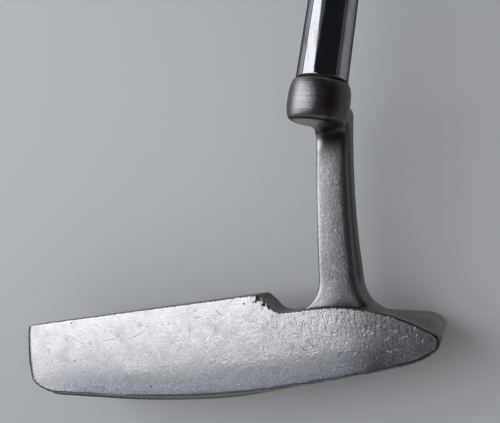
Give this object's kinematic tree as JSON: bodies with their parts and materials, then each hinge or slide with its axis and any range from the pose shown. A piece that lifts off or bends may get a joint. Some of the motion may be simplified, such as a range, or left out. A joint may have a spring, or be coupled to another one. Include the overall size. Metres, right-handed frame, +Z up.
{
  "type": "golf putter",
  "caption": "Right-handed golf putter lying face up: heel-toe weighted cast head with an offset neck, flared and stepped chromed steel shaft, and a rubber pistol grip.",
  "frame": {"origin": "middle of the club's footprint, on the surface that the club lies on", "axes": "+X from the toe towards the heel, +Y from the head towards the grip, +Z up, out of the striking face; the shaft leans 18 degrees from +Y towards +X"},
  "size_m": [0.368, 0.8492, 0.038],
  "materials": {
    "head": "worn satin cast metal, filed neck, semi-polished barrel",
    "adhesive": "dark cured epoxy with a little rust",
    "shaft": "polished chrome plate on steel",
    "tape": "double-sided paper tape",
    "grip": "matt moulded rubber",
    "cap": "smooth moulded rubber"
  },
  "bodies": {
    "root": {"head": "head", "shaft_adhesive": "adhesive", "shaft": "shaft", "grip_tape": "tape", "grip_sleeve": "grip", "grip_cap": "cap"}
  },
  "joints": []
}
